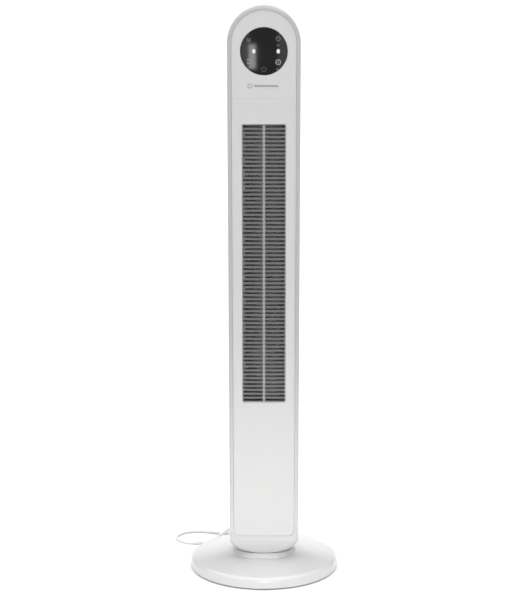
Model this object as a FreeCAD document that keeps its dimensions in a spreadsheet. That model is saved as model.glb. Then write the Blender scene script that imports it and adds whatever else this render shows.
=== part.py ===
import FreeCAD, Part
import math
import os
from types import SimpleNamespace

import Sketcher

# Tower fan.  X is to the right seen from the front, -Y is the front, +Z is up.
# The origin is the centre of the round base, on the floor.  All lengths are in millimetres.

Vector = FreeCAD.Vector
document = FreeCAD.newDocument("tower_fan")
sheet = document.addObject("Spreadsheet::Sheet", "sizes")

DRIVING = {
    # whole object
    "overall_height": 1100,
    "base_diameter": 288,
    "column_width": 137,
    "column_foot_width": 133,
    "column_front": 56,
    "column_rear": 56,
    "wall": 2.5,
    "clearance": 0.4,
    # base
    "feet_height": 2,
    "feet_radius": 11,
    "feet_inset": 22,
    "feet_count": 6,
    "rim_height": 22,
    "crown_height": 31,
    "rim_round": 8,
    "underplate_thick": 2.5,
    "ballast_thick": 7.5,
    "ballast_inset": 20,
    "ballast_inner": 45,
    "boss_inset": 11,
    "boss_radius": 4,
    "boss_count": 5,
    "collar_width": 124,
    "collar_depth": 102,
    "collar_height": 8.5,
    "collar_round": 48,
    "collar_lean": 5.5,
    "swing_gap": 2.5,
    # swing drive
    "post_radius": 17,
    "post_bore": 13,
    "post_flange": 35,
    "bush_radius": 22,
    "running_gap": 0.05,
    "gear_teeth": 32,
    "pinion_teeth": 10,
    "gear_module": 1.5,
    "gear_thick": 5,
    "swing_motor_radius": 18,
    "swing_motor_height": 15,
    # column foot
    "foot_height": 28.5,
    "foot_inset": 9,
    "foot_floor": 8,
    "foot_side": 10.5,
    "foot_front_round": 7,
    "foot_low_round": 44,
    "foot_cavity_round": 30,
    "rear_round": 30,
    # front
    "rim_width": 7.5,
    "frame_depth": 26,
    "frame_round": 6.5,
    "panel_recess": 1,
    "panel_thick": 3,
    "panel_corner": 12,
    "seam_drop": 102,
    "seam_gap": 0.1,
    "groove_drop": 19.5,
    "groove_depth": 0.3,
    "outlet_width": 83,
    "outlet_low": 347,
    "outlet_drop": 149.2,
    "outlet_corner": 3,
    "slat_count": 68,
    "slat_thick": 4.4,
    "slat_depth": 6.3,
    "slat_recess": 0.6,
    "grille_depth": 9,
    "rib_width": 5.5,
    "grille_edge": 2,
    # display
    "lens_radius": 44,
    "lens_thick": 3,
    "lens_drop": 14.5,
    "lens_seat": 4,
    "board_thick": 1.6,
    # rear inlet
    "slot_count": 44,
    "slot_height": 6,
    "slot_margin": 12,
    "slot_width": 96,
    # air system
    "axis_back": 8,
    "impeller_radius": 38,
    "impeller_inner": 28,
    "blade_count": 26,
    "blade_thick": 1.4,
    "ring_thick": 2,
    "bulkhead_thick": 8,
    "duct_margin": 10,
    "scroll_gap": 12,
    "tongue_gap": 2.5,
    "housing_screw_side": 28,
    # fan motor
    "motor_radius": 34,
    "motor_drop": 86,
    "mount_circle": 26,
    "mount_radius": 6,
    "motor_height": 62,
    "motor_wall": 3,
    "shaft_radius": 4,
    "journal_radius": 3,
    "bush_wall": 2,
    # electronics
    "board_width": 84,
    "board_height": 100,
    "board_low": 105,
    "board_back": 37.6,
    # screws
    "screw_radius": 1.5,
    "screw_head": 3.2,
    "screw_head_height": 1.8,
    # cord
    "cord_diameter": 6,
    "gland_height": 58,
    "gland_reach": 81.5,
    "gland_neck": 5,
    "gland_flange": 7,
    "coil_back": 246,
    "coil_middle": 35,
    "coil_width": 18,
    "coil_height": 12.4,
    "coil_lift": 1,
    "plug_width": 35,
    "plug_length": 36,
    "plug_thick": 13.7,
    "plug_side": 46,
    "plug_tail": 222,
    "relief_length": 20,
    "pin_radius": 2,
    "pin_length": 19,
    "pin_spacing": 19,
}


class Size:
    """A length that knows its number and the sheet expression that gives it."""

    def __init__(self, value, text):
        self.value = float(value)
        self.text = text

    def __add__(self, other):
        return Size(self.value + size(other).value, f"({self.text} + {size(other).text})")

    def __sub__(self, other):
        return Size(self.value - size(other).value, f"({self.text} - {size(other).text})")

    def __mul__(self, other):
        return Size(self.value * size(other).value, f"({self.text} * {size(other).text})")

    def __truediv__(self, other):
        return Size(self.value / size(other).value, f"({self.text} / {size(other).text})")

    def __radd__(self, other):
        return size(other) + self

    def __rsub__(self, other):
        return size(other) - self

    def __rmul__(self, other):
        return size(other) * self

    def __neg__(self):
        return Size(-self.value, f"(0 - {self.text})")


def size(item):
    return item if isinstance(item, Size) else Size(item, f"({float(item)})")


def fill_sheet():
    for row, (name, value) in enumerate(DRIVING.items(), start=1):
        sheet.set(f"A{row}", name)
        sheet.set(f"B{row}", str(value))
        sheet.setAlias(f"B{row}", name)
    document.recompute()
    return SimpleNamespace(**{name: Size(value, f"sizes.{name}") for name, value in DRIVING.items()})


d = fill_sheet()
nodes = {}

# ---------------------------------------------------------------- shared places

ARCH_RADIUS = d.column_width / 2
ARCH_HEIGHT = d.overall_height - ARCH_RADIUS
COLLAR_TOP = d.crown_height + d.collar_height
FOOT_LOW = COLLAR_TOP + d.swing_gap
FOOT_TOP = FOOT_LOW + d.foot_height
FOOT_HALF = d.column_foot_width / 2
PANEL_FRONT = d.panel_recess - d.column_front
PANEL_BACK = PANEL_FRONT + d.panel_thick
FRAME_BACK = d.frame_depth - d.column_front
GEAR_LOW = FOOT_LOW + d.foot_floor + 3
GEAR_TOP = GEAR_LOW + d.gear_thick
PINION_OUT = d.gear_module * (d.gear_teeth + d.pinion_teeth) / 2
LID_THICK = 3
LID_LOW = FOOT_TOP - LID_THICK
UNDER_TOP = d.feet_height + d.underplate_thick
BASE_EDGE = d.base_diameter / 2
BOSS_CIRCLE = BASE_EDGE - d.boss_inset
SEAM_HEIGHT = ARCH_HEIGHT - d.seam_drop
LENS_HEIGHT = ARCH_HEIGHT - d.lens_drop
OUTLET_HIGH = ARCH_HEIGHT - d.outlet_drop
DUCT_LOW = d.outlet_low - d.duct_margin
DUCT_HIGH = OUTLET_HIGH + d.duct_margin
DUCT_FLOOR = DUCT_LOW + d.bulkhead_thick
DUCT_ROOF = DUCT_HIGH - d.bulkhead_thick
MOTOR_LOW = DUCT_LOW - d.motor_drop
MOTOR_TOP = MOTOR_LOW + d.motor_height
BULKHEAD_HALF = FOOT_HALF - d.rim_width - d.clearance * 1.5
CAVITY_HALF = FOOT_HALF - d.foot_side
CAVITY_DEPTH = d.column_front - d.foot_side
SLOT_LOW = d.outlet_low + d.slot_margin
SLOT_PITCH = (OUTLET_HIGH - d.outlet_low - d.slot_margin * 2) / d.slot_count
IMPELLER_LOW = DUCT_FLOOR + 6
IMPELLER_TOP = DUCT_ROOF - 8


def half_width(height):
    """Half the column's outer width at a height: the sides lean in slightly towards the foot."""
    lean = (ARCH_RADIUS - FOOT_HALF) / (ARCH_HEIGHT - FOOT_TOP)
    return FOOT_HALF + (height - FOOT_TOP) * lean


# ---------------------------------------------------------------- modelling helpers


def bind(feature, prop, value):
    feature.setExpression(prop, size(value).text)


def new_body(name):
    body = document.addObject("PartDesign::Body", name)
    body.Label = name
    nodes[name] = body
    return body


def origin_item(body, role):
    for item in body.Origin.OriginFeatures:
        if item.Role == role:
            return item
    raise ValueError(role)


def sketch_on(body, role, offset=0, up=0):
    """A sketch on one of the body's own planes.  XZ sketches look along +Y, so offset counts towards -Y."""
    sketch = body.newObject("Sketcher::SketchObject", body.Name + "_sketch")
    sketch.AttachmentSupport = [(origin_item(body, role), "")]
    sketch.MapMode = "FlatFace"
    bind(sketch, "AttachmentOffset.Base.z", offset)
    bind(sketch, "AttachmentOffset.Base.y", up)
    return sketch


def constrain(sketch, kind, refs, value):
    number = sketch.addConstraint(Sketcher.Constraint(kind, *refs, value.value))
    sketch.setExpression(f"Constraints[{number}]", value.text)


def pin_point(sketch, edge, end, across, up):
    for kind, axis, place in (("DistanceX", -2, size(across)), ("DistanceY", -1, size(up))):
        if abs(place.value) < 1e-9:
            sketch.addConstraint(Sketcher.Constraint("PointOnObject", edge, end, axis))
        elif place.value > 0:
            constrain(sketch, kind, (-1, 1, edge, end), place)
        else:
            constrain(sketch, kind, (edge, end, -1, 1), -place)


def polygon(sketch, corners, bulges=None):
    """A closed outline through pinned corners; bulges gives an edge's arc radius, positive bowing to the right."""
    bulges = bulges or {}
    first = sketch.GeometryCount
    count = len(corners)
    spots = [Vector(size(x).value, size(y).value, 0) for x, y in corners]
    for step in range(count):
        start, end = spots[step], spots[(step + 1) % count]
        if step in bulges:
            radius = size(bulges[step]).value
            chord = end - start
            side = Vector(chord.y, -chord.x, 0).normalize() * (1 if radius > 0 else -1)
            rise = abs(radius) - math.sqrt(radius ** 2 - (chord.Length / 2) ** 2)
            arc = Part.Arc(start, (start + end) / 2 + side * rise, end)
            sketch.addGeometry(arc, False)
        else:
            sketch.addGeometry(Part.LineSegment(start, end), False)
    for step in range(count):
        after = (step + 1) % count
        flipped = step in bulges and size(bulges[step]).value < 0
        next_flipped = after in bulges and size(bulges[after]).value < 0
        last_end = 1 if flipped else 2
        next_start = 2 if next_flipped else 1
        sketch.addConstraint(Sketcher.Constraint("Coincident", first + step, last_end, first + after, next_start))
        start_end = 2 if flipped else 1
        pin_point(sketch, first + step, start_end, *corners[step])
    for step, radius in bulges.items():
        bulge = size(radius) if size(radius).value > 0 else -size(radius)
        constrain(sketch, "Radius", (first + step,), bulge)


def rectangle(sketch, left, low, right, high):
    polygon(sketch, [(left, low), (right, low), (right, high), (left, high)])


def rounded_rectangle(sketch, half, front, rear, front_round, rear_round):
    """A rectangle about the V axis whose two front and two rear corners have their own radii."""
    low, high = -front, rear
    corners = [
        (front_round - half, low), (half - front_round, low),
        (half, low + front_round), (half, high - rear_round),
        (half - rear_round, high), (rear_round - half, high),
        (-half, high - rear_round), (-half, low + front_round),
    ]
    polygon(sketch, corners, {1: front_round, 3: rear_round, 5: rear_round, 7: front_round})


def circle(sketch, across, up, radius):
    index = sketch.addGeometry(Part.Circle(Vector(size(across).value, size(up).value, 0), Vector(0, 0, 1),
                                           size(radius).value), False)
    pin_point(sketch, index, 3, across, up)
    constrain(sketch, "Radius", (index,), size(radius))


def arch(sketch, inset, low):
    """The column's arched outline, drawn inset from its outer edge and closed at the height low."""
    first = sketch.GeometryCount
    radius = ARCH_RADIUS - inset
    half = half_width(size(low)) - inset
    foot, low_z = half.value, size(low).value
    top_z = ARCH_HEIGHT.value
    lean = math.atan2(top_z - low_z, foot) - math.acos(radius.value / math.hypot(foot, top_z - low_z))
    shoulder = (radius.value * math.cos(lean), top_z - radius.value * math.sin(lean))
    sketch.addGeometry(Part.LineSegment(Vector(-foot, low_z, 0), Vector(foot, low_z, 0)), False)
    sketch.addGeometry(Part.LineSegment(Vector(foot, low_z, 0), Vector(*shoulder, 0)), False)
    ring = Part.Circle(Vector(0, top_z, 0), Vector(0, 0, 1), radius.value)
    sketch.addGeometry(Part.ArcOfCircle(ring, -lean, math.pi + lean), False)
    sketch.addGeometry(Part.LineSegment(Vector(-shoulder[0], shoulder[1], 0), Vector(-foot, low_z, 0)), False)
    sketch.addConstraint(Sketcher.Constraint("Coincident", first, 2, first + 1, 1))
    sketch.addConstraint(Sketcher.Constraint("Tangent", first + 1, 2, first + 2, 1))
    sketch.addConstraint(Sketcher.Constraint("Tangent", first + 2, 2, first + 3, 1))
    sketch.addConstraint(Sketcher.Constraint("Coincident", first + 3, 2, first, 1))
    pin_point(sketch, first, 1, -half, low)
    pin_point(sketch, first, 2, half, low)
    pin_point(sketch, first + 2, 3, 0, ARCH_HEIGHT)
    constrain(sketch, "Radius", (first + 2,), radius)


def feature(body, kind, name):
    return body.newObject("PartDesign::" + kind, f"{body.Name}_{name}")


def pad(body, sketch, length, backwards=False):
    item = feature(body, "Pad", "pad")
    item.Profile = sketch
    bind(item, "Length", length)
    item.Reversed = backwards
    document.recompute()
    return item


def pocket(body, sketch, length, backwards=False):
    """Cuts along the sketch's normal reversed; the body must get lighter."""
    before = body.Shape.Volume
    item = feature(body, "Pocket", "pocket")
    item.Profile = sketch
    bind(item, "Length", length)
    item.Reversed = backwards
    document.recompute()
    if not item.Shape.Volume < before - 1e-3:
        raise RuntimeError(f"{body.Name}: a pocket cut nothing")
    return item


def revolve(body, sketch, axis="V_Axis"):
    item = feature(body, "Revolution", "turn")
    item.Profile = sketch
    item.ReferenceAxis = (sketch, [axis])
    item.Angle = 360
    document.recompute()
    return item


def around(body, original, count, axis="Z_Axis"):
    item = feature(body, "PolarPattern", "polar")
    item.Originals = [original]
    item.Axis = (origin_item(body, axis), [""])
    item.Angle = 360
    bind(item, "Occurrences", count)
    body.Tip = item
    document.recompute()
    return item


def along(body, original, length, count, axis="Z_Axis"):
    item = feature(body, "LinearPattern", "row")
    item.Originals = [original]
    item.Direction = (origin_item(body, axis), [""])
    bind(item, "Length", length)
    bind(item, "Occurrences", count)
    body.Tip = item
    document.recompute()
    return item


def round_edges(body, radius, test):
    base = body.Tip
    picked = [f"Edge{place}" for place, edge in enumerate(base.Shape.Edges, start=1) if test(edge)]
    if not picked:
        raise RuntimeError(f"{body.Name}: no edge to round")
    item = feature(body, "Fillet", "round")
    item.Base = (base, picked)
    bind(item, "Radius", radius)
    document.recompute()
    return item


def lies_at(edge, axis, place):
    """True when the whole edge lies in the plane where the coordinate axis equals place."""
    box = edge.BoundBox
    low, high = (box.XMin, box.XMax), (box.YMin, box.YMax)
    span = {"x": low, "y": high, "z": (box.ZMin, box.ZMax)}[axis]
    return abs(span[0] - place) < 1e-3 and abs(span[1] - place) < 1e-3


def is_bore(edge, radius):
    """True for a circular edge about the Z axis with the given radius."""
    return hasattr(edge.Curve, "Radius") and abs(edge.Curve.Radius - radius) < 1e-3


def ring(name, low, height, outer, inner=None, across=0, back=0):
    """An upright ring, or a disc when it has no inner radius."""
    body = new_body(name)
    sketch = sketch_on(body, "XY_Plane", low)
    circle(sketch, across, back, outer)
    if inner is not None:
        circle(sketch, across, back, inner)
    pad(body, sketch, height)
    return body


def cylinder(name, radius, height, place, along_axis="z"):
    """A plain cylinder whose foot is at place and which runs along +Z, +Y or +X."""
    item = document.addObject("Part::Cylinder", name)
    turn = {"z": (Vector(0, 0, 1), 0), "y": (Vector(1, 0, 0), -90), "x": (Vector(0, 1, 0), 90)}[along_axis]
    item.Placement = FreeCAD.Placement(Vector(0, 0, 0), FreeCAD.Rotation(*turn))
    bind(item, "Radius", radius)
    bind(item, "Height", height)
    for letter, value in zip("xyz", place):
        bind(item, "Placement.Base." + letter, value)
    return item


def box(name, lengths, place):
    item = document.addObject("Part::Box", name)
    for prop, value in zip(("Length", "Width", "Height"), lengths):
        bind(item, prop, value)
    for letter, value in zip("xyz", place):
        bind(item, "Placement.Base." + letter, value)
    return item


def group(name, members):
    item = document.addObject("Part::Compound", name)
    item.Links = members
    item.Label = name
    nodes[name] = item
    return item


def fuse(name, first, second):
    item = document.addObject("Part::Fuse", name)
    item.Base = first
    item.Tool = second
    return item


def screw(name, place, shank, direction, head_radius=d.screw_head):
    """A screw whose head rests at place; direction is the way the shank points: +z, -z or -y."""
    x, y, z = place
    if direction == "+z":
        head = cylinder(name + "_head", head_radius, d.screw_head_height, (x, y, z - d.screw_head_height))
        stem = cylinder(name + "_stem", d.screw_radius, shank, (x, y, z))
    elif direction == "-z":
        head = cylinder(name + "_head", head_radius, d.screw_head_height, (x, y, z))
        stem = cylinder(name + "_stem", d.screw_radius, shank, (x, y, z - shank))
    else:
        head = cylinder(name + "_head", head_radius, d.screw_head_height, (x, y, z), "y")
        stem = cylinder(name + "_stem", d.screw_radius, shank, (x, y - shank, z), "y")
    return fuse(name, head, stem)


def on_circle(radius, count, turn=0):
    """Even places round a circle, as pairs of sizes."""
    places = []
    for step in range(count):
        angle = math.radians(turn + 360 * step / count)
        places.append((radius * math.cos(angle), radius * math.sin(angle)))
    return places


# ---------------------------------------------------------------- base


def base_cover():
    body = new_body("base_cover")
    sketch = sketch_on(body, "XZ_Plane")
    outer = BASE_EDGE
    inner = d.post_radius - 1
    flat = d.collar_width / 2 + 4
    polygon(sketch, [
        (inner, d.crown_height - d.wall), (flat, d.crown_height - d.wall),
        (outer - d.rim_round + d.wall * 0.6, d.rim_height - d.wall - 0.6),
        (outer - d.wall, d.rim_height - d.rim_round + 0.5), (outer - d.wall, d.feet_height),
        (outer, d.feet_height), (outer, d.rim_height), (flat, d.crown_height), (inner, d.crown_height),
    ])
    revolve(body, sketch)
    edge_at = outer.value
    round_edges(body, d.rim_round, lambda edge: lies_at(edge, "z", d.rim_height.value)
                and abs(edge.BoundBox.XMax - edge_at) < 1e-3)
    round_edges(body, 1.2, lambda edge: lies_at(edge, "z", d.feet_height.value)
                and abs(edge.BoundBox.XMax - edge_at) < 1e-3)
    bosses = sketch_on(body, "XY_Plane", UNDER_TOP)
    circle(bosses, BOSS_CIRCLE, 0, d.boss_radius)
    circle(bosses, BOSS_CIRCLE, 0, d.screw_radius)
    around(body, pad(body, bosses, d.rim_height - d.wall - UNDER_TOP), d.boss_count)
    holes = sketch_on(body, "XY_Plane", d.crown_height)
    circle(holes, d.post_flange - 6, 0, d.screw_radius)
    around(body, pocket(body, holes, d.wall * 2), 4)


def base_underplate():
    body = ring("base_underplate", d.feet_height, d.underplate_thick,
                BASE_EDGE - d.wall - d.clearance, d.post_bore + 3)
    holes = sketch_on(body, "XY_Plane", UNDER_TOP)
    circle(holes, BOSS_CIRCLE, 0, d.screw_radius)
    around(body, pocket(body, holes, d.underplate_thick * 2), d.boss_count)


def base_small_parts():
    ring("ballast_ring", UNDER_TOP, d.ballast_thick, BASE_EDGE - d.ballast_inset, d.ballast_inner)
    count = int(d.feet_count.value)
    feet = [cylinder(f"foot_{step}", d.feet_radius, d.feet_height, (x, y, 0))
            for step, (x, y) in enumerate(on_circle(BASE_EDGE - d.feet_inset, count, 30))]
    group("rubber_feet", feet)
    count = int(d.boss_count.value)
    screws = [screw(f"base_screw_{step}", (x, y, d.feet_height), 11, "+z")
              for step, (x, y) in enumerate(on_circle(BOSS_CIRCLE, count))]
    group("base_screws", screws)


def base_collar():
    body = new_body("base_collar")
    half, depth = d.collar_width / 2, d.collar_depth / 2
    low = sketch_on(body, "XY_Plane", d.crown_height)
    rounded_rectangle(low, half, depth, depth, d.collar_round, d.collar_round)
    high = sketch_on(body, "XY_Plane", COLLAR_TOP)
    lean = d.collar_lean
    rounded_rectangle(high, half - lean, depth - lean, depth - lean, d.collar_round - lean, d.collar_round - lean)
    loft = feature(body, "AdditiveLoft", "shape")
    loft.Profile = low
    loft.Sections = [high]
    document.recompute()
    body.Tip = loft
    hollow = sketch_on(body, "XY_Plane", d.crown_height)
    inset = d.wall + lean
    rounded_rectangle(hollow, half - inset, depth - inset, depth - inset,
                      d.collar_round - inset, d.collar_round - inset)
    pocket(body, hollow, d.collar_height - d.wall, True)
    mouth = sketch_on(body, "XY_Plane", COLLAR_TOP)
    circle(mouth, 0, 0, d.bush_radius)
    pocket(body, mouth, d.wall * 2)
    bore = d.bush_radius.value
    round_edges(body, 1.6, lambda edge: lies_at(edge, "z", COLLAR_TOP.value)
                and not is_bore(edge, bore))


def pivot_parts():
    body = new_body("pivot_post")
    sketch = sketch_on(body, "XZ_Plane")
    top = GEAR_TOP + 5.5
    polygon(sketch, [
        (d.post_bore, d.crown_height), (d.post_flange, d.crown_height), (d.post_flange, d.crown_height + 3),
        (d.post_radius, d.crown_height + 3), (d.post_radius, top), (d.post_bore, top),
    ])
    revolve(body, sketch)
    holes = sketch_on(body, "XY_Plane", d.crown_height + 3)
    circle(holes, d.post_flange - 6, 0, d.screw_radius)
    around(body, pocket(body, holes, 6), 4)
    screws = [screw(f"pivot_screw_{step}", (x, y, d.crown_height + 3), 7, "-z")
              for step, (x, y) in enumerate(on_circle(d.post_flange - 6, 4))]
    group("pivot_screws", screws)
    ring("slide_washer", COLLAR_TOP, d.swing_gap - 0.1, d.bush_radius * 2, d.bush_radius + 4)
    ring("pivot_nut", GEAR_TOP + 0.2, 4.5, d.post_radius + 4, d.post_radius)
    bush = new_body("pivot_bush")
    profile = sketch_on(bush, "XZ_Plane")
    inner = d.post_radius + d.running_gap
    floor_top = FOOT_LOW + d.foot_floor
    polygon(profile, [
        (inner, FOOT_LOW + 0.2), (d.bush_radius, FOOT_LOW + 0.2), (d.bush_radius, floor_top),
        (d.bush_radius + 4, floor_top), (d.bush_radius + 4, floor_top + 2), (inner, floor_top + 2),
    ])
    revolve(bush, profile)


def toothed_disc(name, teeth, bore, low, thick, across, turn):
    """A spur gear: a root disc and one straight-sided tooth repeated round its axis."""
    body = new_body(name)
    pitch = d.gear_module * teeth / 2
    root = pitch - d.gear_module * 1.15
    tip = pitch + d.gear_module * 0.75
    disc = sketch_on(body, "XY_Plane", low)
    circle(disc, 0, 0, root)
    if bore is not None:
        circle(disc, 0, 0, bore)
    pad(body, disc, thick)
    tooth = sketch_on(body, "XY_Plane", low)
    wide, narrow = d.gear_module * 0.8, d.gear_module * 0.24
    polygon(tooth, [(root - 0.6, -wide), (root, -wide), (tip, -narrow), (tip, narrow), (root, wide),
                    (root - 0.6, wide)])
    around(body, pad(body, tooth, thick), teeth)
    body.Placement.Rotation = FreeCAD.Rotation(Vector(0, 0, 1), turn)
    bind(body, "Placement.Base.x", across)
    return body


def swing_drive():
    toothed_disc("swing_gear", d.gear_teeth, d.post_radius, GEAR_LOW, d.gear_thick, 0, 0)
    pinion = toothed_disc("swing_pinion", d.pinion_teeth, None, GEAR_LOW, d.gear_thick, PINION_OUT,
                          180 / d.pinion_teeth.value)
    stem = sketch_on(pinion, "XY_Plane", GEAR_LOW)
    circle(stem, 0, 0, 2.5)
    pad(pinion, stem, FOOT_TOP + 8 - GEAR_LOW)

    lid = new_body("foot_lid")
    plate = sketch_on(lid, "XY_Plane", LID_LOW)
    half, depth = CAVITY_HALF - d.clearance, CAVITY_DEPTH - d.clearance
    corner = d.foot_cavity_round - d.clearance
    rounded_rectangle(plate, half, depth, depth, corner, corner)
    circle(plate, 0, 0, d.post_bore)
    circle(plate, PINION_OUT, 0, 3.2)
    for side in (-1, 1):
        circle(plate, PINION_OUT, side * (d.swing_motor_radius + 3.5), d.screw_radius)
    pad(lid, plate, LID_THICK)

    motor = new_body("swing_motor")
    flange = sketch_on(motor, "XY_Plane", FOOT_TOP)
    reach = d.swing_motor_radius + 7
    rectangle(flange, PINION_OUT - 5, -reach, PINION_OUT + 5, reach)
    for side in (-1, 1):
        circle(flange, PINION_OUT, side * (d.swing_motor_radius + 3.5), d.screw_radius)
    pad(motor, flange, 1.5)
    can = sketch_on(motor, "XY_Plane", FOOT_TOP)
    circle(can, PINION_OUT, 0, d.swing_motor_radius)
    pad(motor, can, d.swing_motor_height)
    hole = sketch_on(motor, "XY_Plane", FOOT_TOP)
    circle(hole, PINION_OUT, 0, 2.5 + d.running_gap)
    pocket(motor, hole, 10, True)
    screws = [screw(f"motor_screw_{side}", (PINION_OUT, side * (d.swing_motor_radius + 3.5), FOOT_TOP + 1.5),
                    6, "-z", 2.6) for side in (-1, 1)]
    group("swing_motor_screws", screws)


# ---------------------------------------------------------------- column shells


def column_foot():
    """The foot curves under, from the column's full outline to a rounder one at the swing gap."""
    body = new_body("column_foot")
    sections = []
    for share in (0, 0.25, 0.5, 0.75, 1):
        fall = share ** 1.5
        inset = d.foot_inset * fall
        sketch = sketch_on(body, "XY_Plane", FOOT_TOP - d.foot_height * share)
        front_round = d.foot_front_round + (d.foot_low_round - d.foot_front_round) * fall
        rear_round = d.rear_round + (d.foot_low_round - d.rear_round) * fall
        rounded_rectangle(sketch, FOOT_HALF - inset, d.column_front - inset, d.column_rear - inset,
                          front_round, rear_round)
        sections.append(sketch)
    loft = feature(body, "AdditiveLoft", "shape")
    loft.Profile = sections[0]
    loft.Sections = sections[1:]
    document.recompute()
    body.Tip = loft
    hollow = sketch_on(body, "XY_Plane", FOOT_TOP)
    rounded_rectangle(hollow, CAVITY_HALF, CAVITY_DEPTH, CAVITY_DEPTH, d.foot_cavity_round, d.foot_cavity_round)
    pocket(body, hollow, d.foot_height - d.foot_floor)
    mouth = sketch_on(body, "XY_Plane", FOOT_TOP)
    circle(mouth, 0, 0, d.bush_radius)
    pocket(body, mouth, d.foot_height + 5)
    seat = sketch_on(body, "XZ_Plane", -d.column_rear, d.gland_height)
    circle(seat, 0, 0, d.gland_flange + 1)
    pad(body, seat, d.foot_side)
    outlet = sketch_on(body, "XZ_Plane", 0, d.gland_height)
    circle(outlet, 0, 0, d.gland_neck)
    pocket(body, outlet, d.column_rear + 10, False)


def front_frame():
    body = new_body("front_frame")
    sketch = sketch_on(body, "XZ_Plane", -FRAME_BACK)
    arch(sketch, 0, FOOT_TOP)
    arch(sketch, d.rim_width, FOOT_TOP + d.rim_width)
    pad(body, sketch, d.frame_depth)
    low = (FOOT_TOP + d.rim_width).value
    round_edges(body, d.panel_corner, lambda edge: lies_at(edge, "z", low)
                and edge.BoundBox.YLength > 1 and edge.BoundBox.XLength < 1e-3)
    outer = ARCH_RADIUS.value
    inner_top = (ARCH_HEIGHT + ARCH_RADIUS - d.rim_width).value
    front = -d.column_front.value
    side_middle = (FOOT_HALF + ARCH_RADIUS).value / 2
    rim = d.rim_width.value

    def outer_front_edge(edge):
        if not lies_at(edge, "y", front):
            return False
        middle = edge.valueAt((edge.FirstParameter + edge.LastParameter) / 2)
        side = abs(middle.x) > side_middle - rim / 2
        top = middle.z > inner_top + 2 and abs(middle.x) < outer
        return side or top

    round_edges(body, d.frame_round, outer_front_edge)


def front_panels():
    body = new_body("front_panel")
    gap = d.rim_width + d.clearance
    low = FOOT_TOP + gap
    high = SEAM_HEIGHT - d.seam_gap / 2
    sketch = sketch_on(body, "XZ_Plane", -PANEL_BACK)
    foot, top = half_width(low) - gap, half_width(high) - gap
    polygon(sketch, [(-foot, low), (foot, low), (top, high), (-top, high)])
    pad(body, sketch, d.panel_thick)
    round_edges(body, d.panel_corner - d.clearance, lambda edge: lies_at(edge, "z", low.value)
                and edge.BoundBox.XLength < 1e-3)
    window = sketch_on(body, "XZ_Plane", -PANEL_FRONT)
    half = d.outlet_width / 2
    rectangle(window, -half, d.outlet_low, half, OUTLET_HIGH)
    pocket(body, window, d.panel_thick * 2)
    round_edges(body, d.outlet_corner, lambda edge: edge.BoundBox.XLength < 1e-3
                and edge.BoundBox.ZLength < 1e-3 and abs(abs(edge.BoundBox.XMin) - half.value) < 1e-3)

    groove = sketch_on(body, "XZ_Plane", -PANEL_FRONT)
    level = SEAM_HEIGHT - d.groove_drop
    rectangle(groove, -half_width(level), level - d.groove_depth, half_width(level), level + d.groove_depth)
    pocket(body, groove, d.groove_depth)

    head = new_body("head_panel")
    plate = sketch_on(head, "XZ_Plane", -PANEL_BACK)
    arch(plate, gap, SEAM_HEIGHT + d.seam_gap / 2)
    circle(plate, 0, LENS_HEIGHT, d.lens_radius + 0.3)
    pad(head, plate, d.panel_thick)
    seat = sketch_on(head, "XZ_Plane", -PANEL_BACK)
    circle(seat, 0, LENS_HEIGHT, d.lens_radius + 3)
    circle(seat, 0, LENS_HEIGHT, d.lens_radius - 3)
    pad(head, seat, d.lens_seat, True)


def outlet_grille():
    body = new_body("outlet_grille")
    half = d.outlet_width / 2 - d.clearance / 2
    low, high = d.outlet_low + d.clearance / 2, OUTLET_HIGH - d.clearance / 2
    front = PANEL_FRONT + 0.4
    edge = d.grille_edge
    back = front + d.grille_depth
    frame = sketch_on(body, "XZ_Plane", -back)
    rectangle(frame, -half, low, half, high)
    rectangle(frame, edge - half, low + edge, half - edge, high - edge)
    pad(body, frame, d.grille_depth)
    round_edges(body, d.outlet_corner - d.clearance / 2, lambda item: item.BoundBox.XLength < 1e-3
                and item.BoundBox.ZLength < 1e-3 and abs(abs(item.BoundBox.XMin) - half.value) < 1e-3)
    rib = sketch_on(body, "XZ_Plane", -back)
    rectangle(rib, -d.rib_width / 2, low, d.rib_width / 2, high)
    pad(body, rib, d.grille_depth)
    slat = sketch_on(body, "XZ_Plane", -(front + d.slat_recess + d.slat_depth))
    pitch = (high - low - edge) / (d.slat_count + 1)
    first = low + edge / 2 + pitch
    rectangle(slat, -(half - edge / 2), first - d.slat_thick / 2, half - edge / 2, first + d.slat_thick / 2)
    along(body, pad(body, slat, d.slat_depth), pitch * (d.slat_count - 1), d.slat_count)


def rear_housing():
    body = new_body("rear_housing")
    sketch = sketch_on(body, "XZ_Plane", -FRAME_BACK)
    arch(sketch, 0, FOOT_TOP)
    pad(body, sketch, d.column_rear - FRAME_BACK, True)
    rear, low = d.column_rear.value, FOOT_TOP.value
    round_edges(body, d.rear_round, lambda edge: lies_at(edge, "y", rear) and not lies_at(edge, "z", low))
    base = body.Tip
    open_faces = [f"Face{place}" for place, face in enumerate(base.Shape.Faces, start=1)
                  if lies_at(face, "y", FRAME_BACK.value) or lies_at(face, "z", low)]
    shell = feature(body, "Thickness", "shell")
    shell.Base = (base, open_faces)
    bind(shell, "Value", d.wall)
    shell.Reversed = True
    document.recompute()
    body.Tip = shell
    slot = sketch_on(body, "XZ_Plane", -(d.column_rear + 5))
    half = d.slot_width / 2
    rectangle(slot, -half, SLOT_LOW, half, SLOT_LOW + d.slot_height)
    cut = pocket(body, slot, d.rear_round - 4, True)
    along(body, cut, SLOT_PITCH * (d.slot_count - 1), d.slot_count)
    holes = sketch_on(body, "XZ_Plane", -(d.column_rear + 5))
    for side in (-1, 1):
        for height in (DUCT_LOW + d.bulkhead_thick / 2, DUCT_HIGH - d.bulkhead_thick / 2):
            circle(holes, side * d.housing_screw_side, height, d.screw_radius)
    pocket(body, holes, 15, True)


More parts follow.
